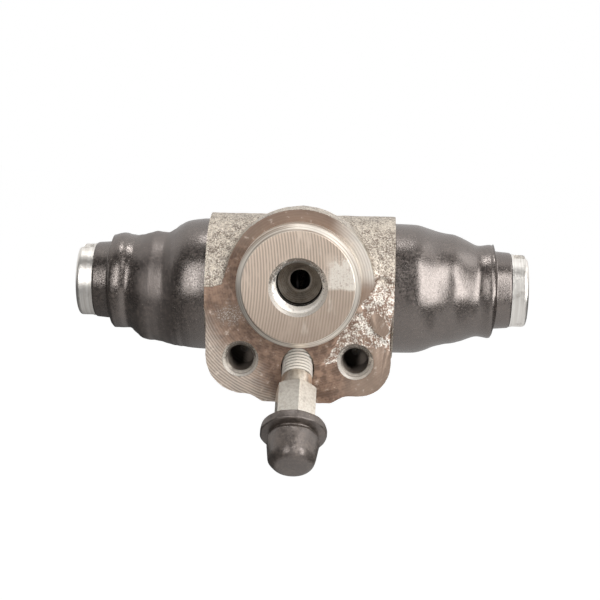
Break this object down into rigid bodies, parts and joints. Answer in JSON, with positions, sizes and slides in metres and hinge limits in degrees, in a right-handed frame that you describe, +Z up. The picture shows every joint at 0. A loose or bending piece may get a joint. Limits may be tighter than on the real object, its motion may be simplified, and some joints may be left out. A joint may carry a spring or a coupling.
{
  "type": "wheel cylinder",
  "caption": "Drum-brake wheel cylinder: cast barrel with mounting flange and round pilot, opposed slotted pistons in rubber boots, and an angled bleed screw with a rubber cap.",
  "frame": {"origin": "axis of the round pilot where it meets the plane of the mounting face", "axes": "+X along the cylinder bore, -Y out of the mounting face along the pilot, +Z up, away from the bleed screw"},
  "size_m": [0.0882, 0.0466, 0.0474],
  "materials": {
    "cast_iron": "grainy cast skin with machined brown-grey faces",
    "piston_metal": "satin turned metal",
    "seal_rubber": "smooth black rubber",
    "spring_steel": "drawn steel wire",
    "boot_rubber": "dusty black rubber",
    "zinc_steel": "pale zinc plate",
    "cap_rubber": "scuffed dark rubber"
  },
  "bodies": {
    "housing": {"cylinder_housing": "cast_iron", "left_dust_boot": "boot_rubber", "right_dust_boot": "boot_rubber", "return_spring": "spring_steel"},
    "left_piston": {"left_piston": "piston_metal", "left_piston_seal": "seal_rubber"},
    "right_piston": {"right_piston": "piston_metal", "right_piston_seal": "seal_rubber"},
    "bleed_screw": {"bleed_screw": "zinc_steel"},
    "bleed_cap": {"bleed_screw_cap": "cap_rubber"}
  },
  "joints": [
    {"name": "left_piston_slide", "type": "slide", "parent": "housing", "child": "left_piston", "axis": [-1, 0, 0], "range_m": [-0.006, 0], "stiffness_N_per_m": 500, "springref_m": 0.004, "deforming": ["left_dust_boot", "return_spring"]},
    {"name": "right_piston_slide", "type": "slide", "parent": "housing", "child": "right_piston", "axis": [1, 0, 0], "range_m": [-0.006, 0], "stiffness_N_per_m": 500, "springref_m": 0.004, "deforming": ["right_dust_boot", "return_spring"]},
    {"name": "bleed_screw_turn", "type": "hinge", "parent": "housing", "child": "bleed_screw", "pos_m": [0, 0, -0.0166], "axis": [0, -0.766, -0.6428], "range_deg": [0, 360]},
    {"name": "bleed_cap_pull", "type": "slide", "parent": "bleed_screw", "child": "bleed_cap", "axis": [0, -0.766, -0.6428], "range_m": [0, 0.012]}
  ]
}
